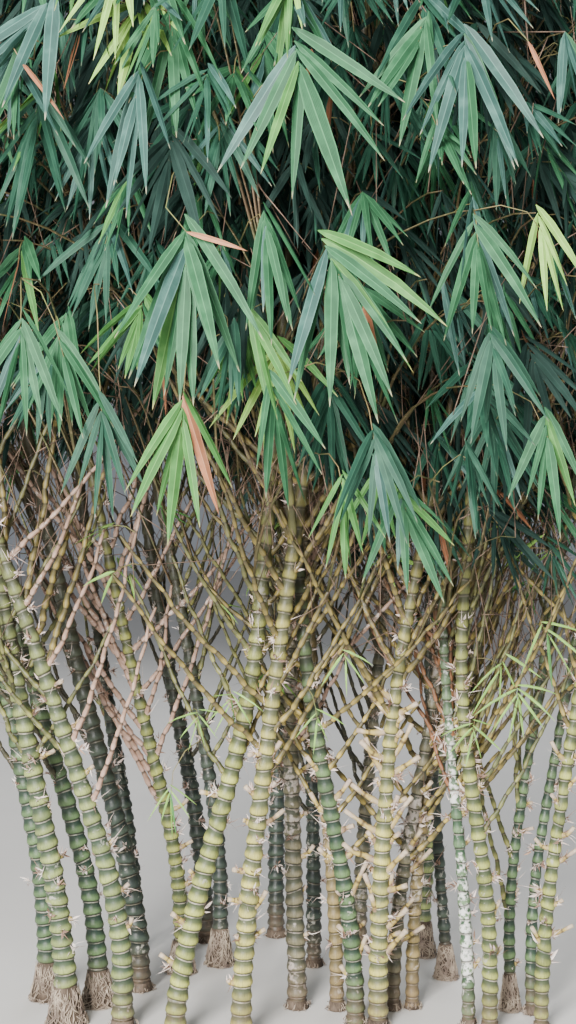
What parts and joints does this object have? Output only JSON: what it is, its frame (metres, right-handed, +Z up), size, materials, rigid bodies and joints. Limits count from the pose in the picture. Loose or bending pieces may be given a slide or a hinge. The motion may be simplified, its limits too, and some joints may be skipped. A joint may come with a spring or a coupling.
{
  "type": "belly bamboo clump",
  "caption": "Rooted clump of swollen-jointed bamboo with bellied culms, side branches and a domed crown of drooping lance-shaped leaves.",
  "frame": {"origin": "centre of the flat cut under the main culm, at ground level", "axes": "+Z up, -Y towards the open front of the clump, +X to the right as seen from the front"},
  "size_m": [2.5031, 2.1405, 3.1819],
  "materials": {
    "culm": "waxy green-olive culm skin, satin",
    "bough": "tan and yellow-green branch skin, satin",
    "foliage": "blue-green leaves, satin above and matt below"
  },
  "bodies": {
    "root": {"bough_middle_1": "bough", "bough_middle_2": "bough", "bough_middle_3": "bough", "bough_middle_4": "bough", "bough_middle_5": "bough", "bough_skirt_1": "bough", "bough_skirt_2": "bough", "bough_skirt_3": "bough", "bough_skirt_4": "bough", "bough_skirt_5": "bough", "bough_skirt_6": "bough", "bough_skirt_7": "bough", "bough_upper_1": "bough", "bough_upper_2": "bough", "bough_upper_3": "bough", "bough_upper_4": "bough", "culm_back_left": "culm", "culm_centre": "culm", "culm_centre_back": "culm", "culm_cream": "culm", "culm_fishbone": "culm", "culm_front_crossing": "culm", "culm_green": "culm", "culm_left_dark": "culm", "culm_left_edge": "culm", "culm_left_front": "culm", "culm_left_inner": "culm", "culm_left_outer": "culm", "culm_lichened": "culm", "culm_main": "culm", "culm_mid_left": "culm", "culm_mossy": "culm", "culm_rear_edge": "culm", "culm_rear_left": "culm", "culm_rear_middle": "culm", "culm_rear_right": "culm", "culm_right_edge": "culm", "culm_right_inner": "culm", "culm_right_leaning": "culm", "culm_right_pair": "culm", "culm_right_slim": "culm", "culm_tan": "culm", "culm_yellow": "culm", "foliage_middle_1": "foliage", "foliage_middle_2": "foliage", "foliage_middle_3": "foliage", "foliage_middle_4": "foliage", "foliage_middle_5": "foliage", "foliage_skirt_1": "foliage", "foliage_skirt_2": "foliage", "foliage_skirt_3": "foliage", "foliage_skirt_4": "foliage", "foliage_skirt_5": "foliage", "foliage_skirt_6": "foliage", "foliage_skirt_7": "foliage", "foliage_upper_1": "foliage", "foliage_upper_2": "foliage", "foliage_upper_3": "foliage", "foliage_upper_4": "foliage"}
  },
  "joints": []
}
